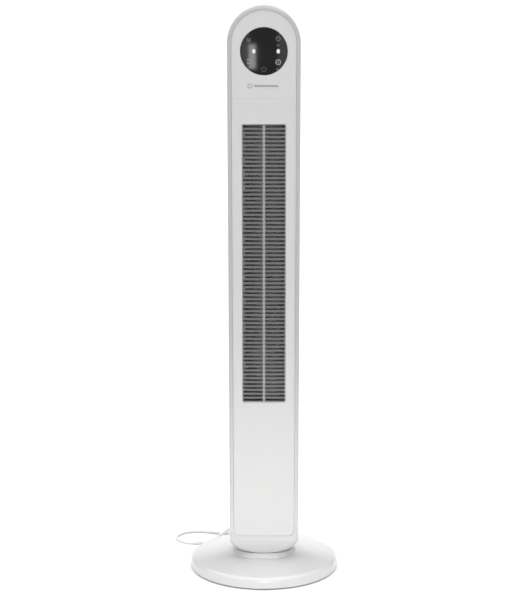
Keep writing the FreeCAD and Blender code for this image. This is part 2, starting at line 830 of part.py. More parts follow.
def housing_screws():
    screws = []
    for side in (-1, 1):
        for end, height in enumerate((DUCT_LOW + d.bulkhead_thick / 2, DUCT_HIGH - d.bulkhead_thick / 2)):
            screws.append(screw(f"housing_screw_{side}_{end}", (side * d.housing_screw_side, d.column_rear, height), 14, "-y"))
    group("housing_screws", screws)


# ---------------------------------------------------------------- display


def display():
    lens_front = PANEL_FRONT - 0.3
    lens = new_body("display_lens")
    sketch = sketch_on(lens, "XZ_Plane", -(lens_front + d.lens_thick))
    circle(sketch, 0, LENS_HEIGHT, d.lens_radius)
    pad(lens, sketch, d.lens_thick)
    round_edges(lens, 0.6, lambda edge: lies_at(edge, "y", lens_front.value))
    board_front = PANEL_BACK + d.lens_seat
    board = new_body("display_board")
    plate = sketch_on(board, "XZ_Plane", -(board_front + d.board_thick))
    circle(plate, 0, LENS_HEIGHT, d.lens_radius + 2)
    pad(board, plate, d.board_thick)
    reach = board_front - (lens_front + d.lens_thick)
    pads = [cylinder(f"touch_{place}", 3.5, reach, (across, board_front - reach, LENS_HEIGHT + up), "y")
            for place, (across, up) in enumerate(((-27, 20), (26, 20), (26, -18), (-26, -18), (0, -31)))]
    group("touch_springs", pads)
    lamps = [box(f"lamp_{place}", (3, 1.4, 3), (across - 1.5, board_front - 1.4, LENS_HEIGHT - 1.5))
             for place, across in enumerate((-18.5, 26))]
    group("display_lamps", lamps)


# ---------------------------------------------------------------- air system


def bulkhead(name, low, hole, screws_at):
    body = new_body(name)
    sketch = sketch_on(body, "XY_Plane", low)
    rounded_rectangle(sketch, BULKHEAD_HALF, -PANEL_BACK - d.clearance,
                      d.column_rear - d.wall - d.clearance, 3, 24)
    circle(sketch, 0, d.axis_back, hole)
    pad(body, sketch, d.bulkhead_thick)
    holes = sketch_on(body, "XZ_Plane", -d.column_rear)
    for side in (-1, 1):
        circle(holes, side * d.housing_screw_side, screws_at, d.screw_radius)
    pocket(body, holes, 14, True)


def duct():
    middle = d.bulkhead_thick / 2
    bulkhead("lower_bulkhead", DUCT_LOW, 15, DUCT_LOW + middle)
    bulkhead("upper_bulkhead", DUCT_ROOF, 11, DUCT_ROOF + middle)
    front = PANEL_FRONT + d.grille_depth + 1.5
    height = DUCT_ROOF - DUCT_FLOOR
    edge = d.outlet_width / 2 + 2.5
    side = d.impeller_radius + d.scroll_gap
    near = d.impeller_radius + d.tongue_gap
    scroll = new_body("scroll_wall")
    sketch = sketch_on(scroll, "XY_Plane", DUCT_FLOOR)
    polygon(sketch, [
        (11, d.axis_back + d.impeller_radius + 4.6), (11, d.axis_back + d.impeller_radius + 2.6),
        (side, d.axis_back), (edge, front), (edge + 2, front), (side + 2, d.axis_back),
    ], {1: -(d.impeller_radius + 6), 5: d.impeller_radius + 8})
    pad(scroll, sketch, height)
    tongue = new_body("tongue_wall")
    sketch = sketch_on(tongue, "XY_Plane", DUCT_FLOOR)
    back = d.axis_back - 10
    polygon(sketch, [(-edge - 2, front), (-edge, front), (2.5 - near, back - 12), (-near - 0.5, back),
                     (-near - 2.5, back), (0.1 - near, back - 12.5)])
    pad(tongue, sketch, height)


def impeller():
    body = new_body("impeller")
    back = d.axis_back
    hub = sketch_on(body, "XY_Plane", IMPELLER_LOW - 3)
    circle(hub, 0, 0, 9)
    circle(hub, 0, 0, d.shaft_radius)
    pad(body, hub, 15)
    disc = sketch_on(body, "XY_Plane", IMPELLER_LOW)
    circle(disc, 0, 0, d.impeller_radius)
    circle(disc, 0, 0, d.shaft_radius)
    pad(body, disc, d.ring_thick)
    lid = sketch_on(body, "XY_Plane", IMPELLER_TOP - d.ring_thick)
    circle(lid, 0, 0, d.impeller_radius)
    blade = sketch_on(body, "XY_Plane", IMPELLER_LOW)
    thick = d.blade_thick / 2
    inner, outer = d.impeller_inner, d.impeller_radius - 0.4
    polygon(blade, [(inner, -thick), (outer, 4 - thick), (outer, 4 + thick), (inner, thick)], {0: 12, 2: -12})
    around(body, pad(body, blade, IMPELLER_TOP - IMPELLER_LOW), d.blade_count)
    pad(body, lid, d.ring_thick)
    body.Tip = body.Group[-1]
    span = (IMPELLER_TOP - IMPELLER_LOW) / 6
    hoop = sketch_on(body, "XY_Plane", IMPELLER_LOW + span)
    circle(hoop, 0, 0, d.impeller_radius)
    circle(hoop, 0, 0, d.impeller_inner - 1)
    along(body, pad(body, hoop, d.ring_thick), span * 4, 5)
    bind(body, "Placement.Base.y", back)

    journal = new_body("top_journal")
    boss = sketch_on(journal, "XY_Plane", IMPELLER_TOP)
    circle(boss, 0, back, 8)
    pad(journal, boss, 2)
    stub = sketch_on(journal, "XY_Plane", IMPELLER_TOP)
    circle(stub, 0, back, d.journal_radius)
    pad(journal, stub, DUCT_HIGH + 2 - IMPELLER_TOP)
    outer = d.journal_radius + d.running_gap / 2 + 3
    ring("bearing_bush", DUCT_ROOF - 2, d.bulkhead_thick + 3, outer, d.journal_radius + d.running_gap / 2, 0, back)
    ring("bearing_holder", DUCT_ROOF, d.bulkhead_thick, 11, outer, 0, back)


def fan_motor():
    back = d.axis_back
    bush = d.shaft_radius + d.bush_wall
    case = new_body("motor_case")
    profile = sketch_on(case, "XZ_Plane", -back)
    low, top, wall = MOTOR_LOW, MOTOR_TOP, d.motor_wall
    radius = d.motor_radius
    polygon(profile, [
        (bush, low), (radius, low), (radius, top), (bush, top), (bush, top - wall),
        (radius - wall, top - wall), (radius - wall, low + wall), (bush, low + wall),
    ])
    revolve(case, profile)
    inner = d.shaft_radius + d.running_gap / 2
    lower = ring("motor_bush_low", low - 0.5, wall + 1, bush, inner, 0, back)
    upper = ring("motor_bush_high", top - wall - 0.5, wall + 1, bush, inner, 0, back)
    nodes.pop("motor_bush_low")
    nodes.pop("motor_bush_high")
    group("motor_bushes", [lower, upper])
    ring("motor_stator", low + 10, d.motor_height - 20, radius - wall, radius - wall - 6, 0, back)
    rotor = new_body("motor_rotor")
    core = sketch_on(rotor, "XY_Plane", low + 12)
    circle(core, 0, back, radius - wall - 7)
    pad(rotor, core, d.motor_height - 24)
    shaft = sketch_on(rotor, "XY_Plane", low - 4)
    circle(shaft, 0, back, d.shaft_radius)
    pad(rotor, shaft, IMPELLER_LOW + 10 - low + 4)
    posts = [cylinder(f"mount_{step}", d.mount_radius, DUCT_LOW - top, (x, back + y, top))
             for step, (x, y) in enumerate(on_circle(d.mount_circle, 4, 45))]
    group("motor_mounts", posts)


# ---------------------------------------------------------------- electronics


def power_board():
    half = d.board_width / 2
    board = box("power_board_plate", (d.board_width, d.board_thick, d.board_height),
                (-half, d.board_back - d.board_thick, d.board_low))
    board.Label = "power_board"
    nodes["power_board"] = board
    length = d.column_rear - d.wall - d.board_back
    posts = []
    for side in (-1, 1):
        for end, height in enumerate((d.board_low + 7, d.board_low + d.board_height - 7)):
            posts.append(cylinder(f"post_{side}_{end}", 3.5, length, (side * 32, d.board_back, height), "y"))
    group("board_posts", posts)
    face = d.board_back - d.board_thick
    low = d.board_low
    parts = [
        cylinder("capacitor", 9, 26, (-24, face - 26, low + 24), "y"),
        cylinder("small_capacitor", 5, 14, (2, face - 14, low + 16), "y"),
        box("transformer", (30, 24, 26), (-34, face - 24, low + 52)),
        box("relay", (18, 16, 14), (12, face - 16, low + 60)),
        box("mains_terminal", (24, 12, 10), (10, face - 12, low + 8)),
        box("signal_socket", (14, 8, 8), (18, face - 8, low + 84)),
    ]
    group("board_components", parts)


# ---------------------------------------------------------------- cord


FLOOR_LINE = d.cord_diameter.value / 2 + 0.3

# From the gland, down behind the base, out to the left, back and round to the side of the coil.
CORD_ROUTE = [
    (0, 81.8, 58), (0, 104, 57.3), (-12, 128, 53), (-33, 147, 43), (-57, 158, 29.5), (-79, 158, 16),
    (-97, 146, 6.5), (-114, 128, FLOOR_LINE), (-142, 119, FLOOR_LINE), (-170, 129, FLOOR_LINE),
    (-184, 157, FLOOR_LINE), (-172, 187, FLOOR_LINE), (-142, 199, FLOOR_LINE), (-112, 191, FLOOR_LINE),
    (-86, 180, FLOOR_LINE), (-61, 189, FLOOR_LINE), (-46, 211, 3.5), (-43.5, 238, 4.5),
]
LEAD_ROUTE = [(43.5, 241, 4.8), (45, 231.5, 5.8), (46, 222.1, 6.95)]


def tube(name, route):
    """A cord's tube: straight runs joined by tangent arcs, each as large as its two runs allow."""
    points = [Vector(*spot) for spot in route]
    edges = []
    start = points[0]
    radii = []
    for before, corner, after in zip(points, points[1:], points[2:]):
        coming = (corner - before).normalize()
        going = (after - corner).normalize()
        shorter = min((corner - before).Length, (after - corner).Length)
        half_turn = coming.getAngle(going) / 2
        reach = 0.45 * shorter
        radii.append(reach / math.tan(half_turn))
        arc_start, arc_end = corner - coming * reach, corner + going * reach
        towards = (going - coming).normalize()
        rise = radii[-1] / math.cos(half_turn) - radii[-1]
        edges.append(Part.LineSegment(start, arc_start).toShape())
        edges.append(Part.Arc(arc_start, corner + towards * rise, arc_end).toShape())
        start = arc_end
    edges.append(Part.LineSegment(start, points[-1]).toShape())
    path = Part.Wire(edges)
    radius = d.cord_diameter.value / 2
    section = Part.Wire([Part.Circle(points[0], points[1] - points[0], radius).toShape()])
    solid = path.makePipeShell([section], True, False)
    expected = math.pi * radius ** 2 * path.Length
    print(f"{name}: {path.Length:.0f} long, volume over section times length {solid.Volume / expected:.4f},"
          f" arc radii {[round(value, 1) for value in radii]}")
    item = document.addObject("Part::Feature", name)
    item.Shape = solid
    item.Label = name
    nodes[name] = item


def cord_gland():
    body = new_body("cord_gland")
    sketch = sketch_on(body, "YZ_Plane", 0, d.gland_height)
    seat = d.column_rear
    polygon(sketch, [
        (seat - 8, 0), (seat - 8, d.gland_neck), (seat, d.gland_neck), (seat, d.gland_flange),
        (seat + 2.5, d.gland_flange), (seat + 3.5, 5.6),
        (d.gland_reach, 4), (d.gland_reach, 0),
    ])
    revolve(body, sketch, "H_Axis")


def coil_and_plug():
    back, half = d.coil_back, d.coil_width / 2
    ring("cord_coil", d.coil_lift, d.coil_height, d.coil_middle + half, d.coil_middle - half, 0, back)
    outer = box("tie_outer", (d.coil_width + 2.4, 6, d.coil_height + 1.4),
                (d.coil_middle - half - 1.2, -3, d.coil_lift - 0.7))
    inner = box("tie_inner", (d.coil_width + 0.6, 10, d.coil_height + 0.2),
                (d.coil_middle - half - 0.3, -5, d.coil_lift - 0.1))
    band = document.addObject("Part::Cut", "cord_tie")
    band.Base = outer
    band.Tool = inner
    band.Label = "cord_tie"
    band.Placement.Rotation = FreeCAD.Rotation(Vector(0, 0, 1), 120)
    bind(band, "Placement.Base.y", back)
    nodes["cord_tie"] = band

    axis = d.plug_thick / 2 + 0.1
    plug = new_body("power_plug")
    block_back = d.plug_tail - d.relief_length
    sketch = sketch_on(plug, "XY_Plane", 0.1)
    side = d.plug_width / 2
    taper = d.plug_width / 2 - 6
    shoulder = block_back - 12
    front = block_back - d.plug_length
    polygon(sketch, [
        (d.plug_side - side, front), (d.plug_side + side, front), (d.plug_side + side, shoulder),
        (d.plug_side + side - taper, block_back), (d.plug_side - side + taper, block_back),
        (d.plug_side - side, shoulder),
    ])
    pad(plug, sketch, d.plug_thick)
    round_edges(plug, 2.5, lambda edge: edge.BoundBox.ZLength > 1)
    relief = sketch_on(plug, "YZ_Plane", d.plug_side, axis)
    polygon(relief, [(block_back - 4, 0), (block_back - 4, 4.6), (block_back + 1, 4.6), (d.plug_tail, 3.6),
                     (d.plug_tail, 0)])
    revolve(plug, relief, "H_Axis")
    pins = [cylinder(f"pin_{side_of}", d.pin_radius, d.pin_length,
                     (d.plug_side + side_of * d.pin_spacing / 2, front - d.pin_length, axis), "y")
            for side_of in (-1, 1)]
    group("plug_pins", pins)


# ---------------------------------------------------------------- build and write


def build():
    base_cover()
    base_underplate()
    base_small_parts()
    base_collar()
    pivot_parts()
    swing_drive()
    column_foot()
    front_frame()
    front_panels()
    outlet_grille()
    rear_housing()
    housing_screws()
    display()
    duct()
    impeller()
    fan_motor()
    power_board()
    cord_gland()
    tube("power_cord", CORD_ROUTE)
    tube("plug_lead", LEAD_ROUTE)
    coil_and_plug()
    document.recompute()


def check_and_write():
    for item in document.Objects:
        if "Invalid" in item.State or "Error" in item.State:
            raise RuntimeError(f"{item.Name} failed: {item.State}")
    for name, item in nodes.items():
        if item.Shape.isNull() or not item.Shape.isValid() or not item.Shape.Solids:
            raise RuntimeError(f"{name} has no valid solid")
    os.makedirs("parts", exist_ok=True)
    for name, item in nodes.items():
        item.Shape.exportStep(f"parts/{name}.step")
    print(len(nodes), "nodes written")


build()
check_and_write()
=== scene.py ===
import math

import bmesh
import bpy
from mathutils import Matrix, Vector


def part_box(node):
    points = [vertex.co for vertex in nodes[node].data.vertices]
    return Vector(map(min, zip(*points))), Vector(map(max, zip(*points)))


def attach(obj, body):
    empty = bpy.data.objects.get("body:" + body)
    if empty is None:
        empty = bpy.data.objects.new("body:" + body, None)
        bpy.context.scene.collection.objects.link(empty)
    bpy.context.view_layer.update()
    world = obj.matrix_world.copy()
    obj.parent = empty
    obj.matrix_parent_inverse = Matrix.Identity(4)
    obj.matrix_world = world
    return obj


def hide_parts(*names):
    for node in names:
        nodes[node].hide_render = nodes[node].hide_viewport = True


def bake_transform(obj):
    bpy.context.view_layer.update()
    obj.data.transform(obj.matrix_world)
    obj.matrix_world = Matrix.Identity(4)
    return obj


# Tower fan: finishes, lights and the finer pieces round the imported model.
# Places are in metres unless a section's heading says millimetres.  The front faces -Y.

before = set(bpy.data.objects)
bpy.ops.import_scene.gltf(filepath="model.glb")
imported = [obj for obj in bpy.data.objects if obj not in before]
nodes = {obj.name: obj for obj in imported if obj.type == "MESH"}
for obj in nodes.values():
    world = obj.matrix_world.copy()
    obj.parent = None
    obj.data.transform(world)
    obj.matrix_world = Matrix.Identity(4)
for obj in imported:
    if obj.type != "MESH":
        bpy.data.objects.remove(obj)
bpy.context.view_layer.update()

MM = 0.001


def box_mm(name):
    """A node's lowest and highest corner at rest, in millimetres."""
    return [[round(value / MM, 3) for value in corner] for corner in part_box(name)]


# ------------------------------------------------------------------ camera, floor and light

CAMERA_PLACE = (0.003, -3.408, 1.224)
CAMERA_DOWN = math.radians(11.4)
CAMERA_LENS = 108


def make_camera():
    data = bpy.data.cameras.new("camera")
    data.lens = CAMERA_LENS
    camera = bpy.data.objects.new("camera", data)
    camera.location = CAMERA_PLACE
    camera.rotation_euler = (math.pi / 2 - CAMERA_DOWN, 0, 0)
    bpy.context.scene.collection.objects.link(camera)
    bpy.context.scene.camera = camera


# Name, place, target, width and height, power in watts, beam in degrees.
# The strip and the two cards are small, and the display mirrors them.
LIGHTS = [
    ("front_fill", (0, -4.2, 2.4), (0, 0, 0.3), (2.4, 1.0), 20, 180),
    ("low_fill", (0, -3.2, 0.2), (0, 0, -0.02), (2.6, 0.3), 1.6, 20),
    ("strip", (-0.046, -3.42, 0.79), (-0.02, 0, 1.0), (0.026, 0.09), 0.15, 180),
    ("card_left", (-0.078, -3.42, 0.81), (0, 0, 1.0), (0.04, 0.19), 0.06, 180),
    ("card_right", (0.07, -3.42, 0.81), (0, 0, 1.0), (0.04, 0.19), 0.06, 180),
]


def area_light(name, place, target, size, power, beam):
    """A soft rectangular light at place, facing target."""
    data = bpy.data.lights.new(name, "AREA")
    data.shape = "RECTANGLE"
    data.size, data.size_y = size
    data.energy = power
    data.spread = math.radians(beam)
    light = bpy.data.objects.new(name, data)
    light.location = place
    light.rotation_euler = (Vector(target) - Vector(place)).to_track_quat("-Z", "Y").to_euler()
    light.visible_camera = False
    bpy.context.scene.collection.objects.link(light)


def make_lights():
    bpy.context.scene.view_settings.view_transform = "Standard"
    for light in LIGHTS:
        area_light(*light)


SKY_TOP = 3.3
SKY_TOP_FOCUS = 4
SKY_EVEN = 0.12
HORIZON_GLOW = 0.75
HORIZON_HEIGHT = 0.14
BACKDROP_GLOW = 1.15
BACKDROP_HEIGHT = 0.42
BACKDROP_FADE = 0.7
BACKDROP_SIDES = (0.75, 0.95)


def make_world():
    """A studio sky: a bright ceiling, dim sides, a pale horizon and a bright backdrop behind."""
    world = bpy.data.worlds.new("studio")
    bpy.context.scene.world = world
    world.use_nodes = True
    sky = Tree(world.node_tree)
    direction = sky.node("ShaderNodeTexCoord", output="Generated")
    up = sky.node("ShaderNodeSeparateXYZ", None, {0: direction}, "Z")
    back = sky.node("ShaderNodeSeparateXYZ", None, {0: direction}, "Y")
    ceiling = up.over(0, 1).power(SKY_TOP_FOCUS) * SKY_TOP
    horizon = up.over(HORIZON_HEIGHT, 0) * HORIZON_GLOW
    upper_edge = up.over(BACKDROP_HEIGHT, BACKDROP_HEIGHT * BACKDROP_FADE)
    backdrop = upper_edge * back.over(*BACKDROP_SIDES) * BACKDROP_GLOW
    background = world.node_tree.nodes["Background"]
    sky.join(background.inputs["Strength"], ceiling + horizon.highest(backdrop) + SKY_EVEN)
    sky.join(background.inputs["Color"], (1, 1, 1, 1))


FLOOR_REACH = 60


def make_floor():
    """A pale matt floor that runs out to the horizon."""
    mesh = bpy.data.meshes.new("floor")
    corners = [(x * FLOOR_REACH, y * FLOOR_REACH, 0) for x, y in ((-1, -1), (1, -1), (1, 1), (-1, 1))]
    mesh.from_pydata(corners, [], [(0, 1, 2, 3)])
    floor = bpy.data.objects.new("floor", mesh)
    bpy.context.scene.collection.objects.link(floor)
    finish = Finish("pale_floor", (0.9, 0.9, 0.9), 0.9)
    finish.colour(finish.noise(2, detail=3).between((0.895, 0.895, 0.895), (0.905, 0.905, 0.905)))
    mesh.materials.append(finish.material)


# ------------------------------------------------------------------ finishes


class Value:
    """A socket in a node tree.  Sums and products of values add Math nodes."""

    def __init__(self, tree, socket):
        self.tree = tree
        self.socket = socket

    def maths(self, operation, first, second):
        return self.tree.node("ShaderNodeMath", {"operation": operation}, {0: first, 1: second})

    def __add__(self, other):
        return self.maths("ADD", self, other)

    __radd__ = __add__

    def __mul__(self, other):
        return self.maths("MULTIPLY", self, other)

    __rmul__ = __mul__

    def __gt__(self, other):
        return self.maths("GREATER_THAN", self, other)

    def power(self, exponent):
        return self.maths("POWER", self, exponent)

    def highest(self, other):
        return self.maths("MAXIMUM", self, other)

    def between(self, low, high):
        """The colour at this share of the way from one colour to the other."""
        settings = {"data_type": "RGBA"}
        return self.tree.node("ShaderNodeMix", settings, {0: self, 6: (*low, 1), 7: (*high, 1)}, 2)

    def over(self, low, high):
        """This value stretched so that low becomes 0 and high becomes 1."""
        return self.tree.node("ShaderNodeMapRange", {"clamp": True}, {0: self, 1: low, 2: high})


class Tree:
    """A node tree whose nodes are made and wired by one method."""

    def __init__(self, tree):
        self.tree = tree

    def join(self, socket, value):
        if isinstance(value, Value):
            self.tree.links.new(value.socket, socket)
        else:
            socket.default_value = value

    def node(self, kind, settings=None, inputs=None, output=0):
        made = self.tree.nodes.new(kind)
        for name, value in (settings or {}).items():
            setattr(made, name, value)
        for name, value in (inputs or {}).items():
            self.join(made.inputs[name], value)
        return Value(self, made.outputs[output])


class Finish(Tree):
    """One procedural material on a Principled shader."""

    def __init__(self, name, colour, roughness, **fixed):
        self.material = bpy.data.materials.new(name)
        self.material.use_nodes = True
        super().__init__(self.material.node_tree)
        self.shader = self.tree.nodes["Principled BSDF"]
        self.feed("Base Color", (*colour, 1))
        self.feed("Roughness", roughness)
        for name, value in fixed.items():
            self.feed(name.replace("_", " "), value)

    def feed(self, name, value):
        self.join(self.shader.inputs[name], value)

    def place(self):
        return self.node("ShaderNodeTexCoord", output="Object")

    def stretched(self, x, y, z):
        return self.node("ShaderNodeMapping", None, {0: self.place(), "Scale": (x, y, z)})

    def noise(self, scale, detail=2, place=None):
        where = place or self.place()
        return self.node("ShaderNodeTexNoise", None, {"Vector": where, "Scale": scale, "Detail": detail})

    def cells(self, scale):
        return self.node("ShaderNodeTexVoronoi", None, {"Vector": self.place(), "Scale": scale})

    def bands(self, scale, direction):
        settings = {"bands_direction": direction}
        return self.node("ShaderNodeTexWave", settings, {"Vector": self.place(), "Scale": scale})

    def colour(self, value):
        self.feed("Base Color", value)

    def roughness(self, value):
        self.feed("Roughness", value)

    def relief(self, height, depth, strength=1.0):
        """Bumps the surface by height times depth metres."""
        inputs = {"Strength": strength, "Distance": depth, "Height": height}
        self.feed("Normal", self.node("ShaderNodeBump", None, inputs))


DRIFT_SCALE = 9
GLOSS_SCALE = 40
PEBBLE_SCALE = 1400
GRIT_SCALE = 2600


def moulded(name, tone, roughness, grain, spread=0.012, tint=(1, 1, 0.995), **fixed):
    """Moulded plastic: a fine spark-eroded grain and a faint drift in tone and gloss."""
    finish = Finish(name, (tone, tone, tone), roughness, **fixed)
    dark = [tone * (1 - spread) * share for share in tint]
    light = [tone * (1 + spread) * share for share in tint]
    finish.colour(finish.noise(DRIFT_SCALE, 3).between(dark, light))
    finish.roughness(finish.noise(GLOSS_SCALE, 2) * 0.1 + (roughness - 0.05))
    pebble = finish.cells(PEBBLE_SCALE) * 0.6 + finish.noise(GRIT_SCALE, 1) * 0.4
    finish.relief(pebble, grain)
    return finish.material


def brushed(name, colour, roughness, stretch, **fixed):
    """Machined or drawn metal with fine lines along one way."""
    finish = Finish(name, colour, roughness, Metallic=1.0, **fixed)
    lines = finish.noise(1, 4, finish.stretched(*stretch))
    dark = [share * 0.85 for share in colour]
    light = [min(1, share * 1.1) for share in colour]
    finish.colour(lines.between(dark, light))
    finish.roughness(lines * 0.2 + (roughness - 0.1))
    finish.relief(lines, 0.00002, 0.5)
    return finish.material


def make_finishes():
    """Every material slot's finish, by the slot's name."""
    return {
        "gloss_white": moulded("gloss_white", 0.65, 0.2, 0.000004, Coat_Weight=0.6, Coat_Roughness=0.05),
        "rim_white_painted_light": rim_white_painted_light(),
        "duct_grey": moulded("duct_grey", 0.7, 0.5, 0.00002),
        "satin_white": moulded("satin_white", 0.66, 0.42, 0.00003),
        "grille_white": moulded("grille_white", 0.32, 0.4, 0.00002),
        "grille_grey": moulded("grille_grey", 0.15, 0.45, 0.00002),
        "black_lens": lens_black(),
        "dark_plastic": moulded("dark_plastic", 0.028, 0.55, 0.00003, 0.2),
        "pom_white": moulded("pom_white", 0.72, 0.3, 0.00001, tint=(1, 0.99, 0.95)),
        "sheet_steel": brushed("sheet_steel", (0.58, 0.6, 0.6), 0.45, (60, 900, 900)),
        "shaft_steel": brushed("shaft_steel", (0.62, 0.62, 0.61), 0.25, (1200, 1200, 30)),
        "sintered_bronze": brushed("sintered_bronze", (0.55, 0.36, 0.19), 0.55, (900, 900, 900)),
        "rubber_black": moulded("rubber_black", 0.022, 0.8, 0.00005, 0.25),
        "board_green": circuit_green(),
        "components": component_dark(),
        "lamp_white": moulded("lamp_white", 0.7, 0.3, 0.00001),
        "spring_steel": brushed("spring_steel", (0.6, 0.58, 0.52), 0.3, (800, 800, 800)),
        "copper_iron": windings(),
        "cord_white": moulded("cord_white", 0.84, 0.45, 0.00002),
        "tie_white": moulded("tie_white", 0.7, 0.6, 0.00006),
        "pin_nickel": brushed("pin_nickel", (0.66, 0.63, 0.58), 0.22, (900, 40, 900)),
    }


def rim_white_painted_light():
    """The rim's satin white with painted light: a darker grey higher up as painted shade, paling towards
    the foot as a painted floor bounce.
    """
    finish = Finish("rim_white_painted_light", (0.52, 0.52, 0.515), 0.4, IOR=1.35)
    height = finish.node("ShaderNodeSeparateXYZ", None, {0: finish.place()}, "Z")
    # Painted light: the tone runs from the panel's white at the foot, a painted floor bounce, up to a
    # darker grey, painted shade of the rim's rounded edge.
    share = height.over(0.1, 0.5) + finish.noise(DRIFT_SCALE, 3) * 0.06
    finish.colour(share.between((0.66, 0.66, 0.655), (0.52, 0.52, 0.515)))
    finish.roughness(finish.noise(GLOSS_SCALE, 2) * 0.1 + 0.35)
    finish.relief(finish.cells(PEBBLE_SCALE), 0.000008)
    return finish.material


def lens_black():
    """Black acrylic, polished, with a trace of smear in its gloss."""
    finish = Finish("black_lens", (0.006, 0.006, 0.0065), 0.03, IOR=1.25)
    finish.colour(finish.noise(30, 3).between((0.004, 0.004, 0.0045), (0.008, 0.008, 0.0085)))
    finish.roughness(finish.noise(55, 4) * 0.02 + 0.02)
    return finish.material


def circuit_green():
    """Green lacquer over straight copper tracks."""
    finish = Finish("board_green", (0.02, 0.14, 0.06), 0.35)
    tracks = finish.bands(160, "X") > 0.72
    finish.colour(tracks.between((0.014, 0.11, 0.045), (0.03, 0.2, 0.09)))
    finish.relief(tracks, 0.00004)
    return finish.material


def component_dark():
    """Dark moulded components, each a little different in tone."""
    finish = Finish("components", (0.05, 0.05, 0.06), 0.5)
    finish.colour(finish.noise(60, 2).between((0.03, 0.03, 0.035), (0.08, 0.08, 0.09)))
    finish.relief(finish.noise(900, 2), 0.00003)
    return finish.material


def windings():
    """Copper windings seen between steel laminations."""
    finish = Finish("copper_iron", (0.3, 0.2, 0.14), 0.45, Metallic=1.0)
    layers = finish.bands(420, "Z") > 0.5
    finish.colour(layers.between((0.32, 0.3, 0.29), (0.55, 0.27, 0.13)))
    finish.relief(layers, 0.0001)
    return finish.material


def lit_white(name, glow):
    """A printed symbol that its lamp lights from behind."""
    finish = Finish(name, (0.03, 0.03, 0.03), 0.4, Emission_Strength=glow)
    finish.feed("Emission Color", finish.noise(400, 1).between((0.8, 0.82, 0.85), (1, 1, 1)))
    return finish.material


def paint_nodes(finishes):
    """Gives every carried-over CAD node its finish."""
    groups = {
        "gloss_white": ["base_cover"],
        "rim_white_painted_light": ["front_frame"],
        "satin_white": ["front_panel", "head_panel", "rear_housing", "column_foot", "base_collar"],
        "grille_white": ["outlet_grille"],
        "black_lens": ["display_lens"],
        "duct_grey": ["lower_bulkhead", "upper_bulkhead", "scroll_wall", "tongue_wall", "impeller"],
        "dark_plastic": ["top_journal", "bearing_holder", "foot_lid", "motor_mounts", "board_posts"],
        "pom_white": ["pivot_post", "pivot_bush", "pivot_nut", "swing_gear", "swing_pinion",
                      "slide_washer"],
        "sheet_steel": ["base_underplate", "ballast_ring", "motor_case", "swing_motor", "base_screws",
                        "pivot_screws", "housing_screws", "swing_motor_screws"],
        "shaft_steel": ["motor_rotor"],
        "sintered_bronze": ["bearing_bush", "motor_bushes"],
        "rubber_black": ["rubber_feet"],
        "board_green": ["power_board", "display_board"],
        "components": ["board_components"],
        "lamp_white": ["display_lamps"],
        "spring_steel": ["touch_springs"],
        "copper_iron": ["motor_stator"],
        "cord_white": ["power_plug", "cord_gland", "power_cord", "plug_lead", "cord_coil"],
        "tie_white": ["cord_tie"],
        "pin_nickel": ["plug_pins"],
    }
    for finish, names in groups.items():
        for name in names:
            mesh = nodes[name].data
            mesh.materials.clear()
            mesh.materials.append(finishes[finish])


# ------------------------------------------------------------------ mesh helpers


def piece(name, mesh, body, material, stands_for=()):
    """A finished piece: its mesh as an object, riding on a body and finish."""
    made = bpy.data.objects.new(name, mesh)
    bpy.context.scene.collection.objects.link(made)
    mesh.materials.append(material)
    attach(made, body)
    if stands_for:
        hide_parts(*stands_for)
    return made


def to_mesh(name, shape, smooth_below=40):
    """Turns a bmesh in millimetres into a mesh, smooth wherever faces meet under the given angle."""
    bmesh.ops.scale(shape, vec=(MM, MM, MM), verts=shape.verts)
    bmesh.ops.recalc_face_normals(shape, faces=shape.faces)
    limit = math.radians(smooth_below)
    for edge in shape.edges:
        edge.smooth = len(edge.link_faces) == 2 and edge.calc_face_angle(math.pi) < limit
    for face in shape.faces:
        face.smooth = True
    mesh = bpy.data.meshes.new(name)
    shape.to_mesh(mesh)
    shape.free()
    return mesh


def loft(shape, sections, capped=True, joined=False):
    """Skins closed loops of points, all of one count, one after the other."""
    rows = [[shape.verts.new(point) for point in section] for section in sections]
    count = len(rows[0])
    pairs = list(zip(rows, rows[1:]))
    if joined:
        pairs.append((rows[-1], rows[0]))
    for row, after in pairs:
        for step in range(count):
            following = (step + 1) % count
            shape.faces.new((row[step], row[following], after[following], after[step]))
    if capped and not joined:
        shape.faces.new(rows[0])
        shape.faces.new(rows[-1])


def rounded_loop(half_x, half_z, corner, steps=5):
    """Points round a rectangle with rounded corners, in a plane, about its centre."""
    corner = min(corner, half_x * 0.999, half_z * 0.999)
    points = []
    for turn, (side, up) in enumerate(((1, 1), (-1, 1), (-1, -1), (1, -1))):
        for step in range(steps + 1):
            angle = math.pi / 2 * (turn + step / steps)
            points.append((side * (half_x - corner) + corner * math.cos(angle),
                           up * (half_z - corner) + corner * math.sin(angle)))
    return points


def circle_loop(radius, count=32):
    angles = [2 * math.pi * step / count for step in range(count)]
    return [(radius * math.cos(angle), radius * math.sin(angle)) for angle in angles]


def half_round(half, front, nose, steps):
    """Points across a nose that bulges towards -Y, as (across, depth) from -half to half."""
    angles = [math.pi * step / steps for step in range(steps + 1)]
    return [(-half * math.cos(angle), front + nose - nose * math.sin(angle)) for angle in angles]


# ------------------------------------------------------------------ outlet louvre, in millimetres

(_, LOUVRE_FRONT, LOUVRE_LOW), (LOUVRE_HALF, LOUVRE_BACK, LOUVRE_HIGH) = box_mm("outlet_grille")
LOUVRE_CORNER = 2.8
LOUVRE_EDGE = 2
LOUVRE_CHAMFER = 0.5
LOUVRE_LIP = 0.8
RIB_HALF = 2.75
RIB_NOSE = 1.3
SLAT_COUNT = 68
SLAT_HALF = 2.2
SLAT_NOSE = 1.4
SLAT_FRONT = LOUVRE_FRONT + 0.6
SLAT_BACK = SLAT_FRONT + 6.3


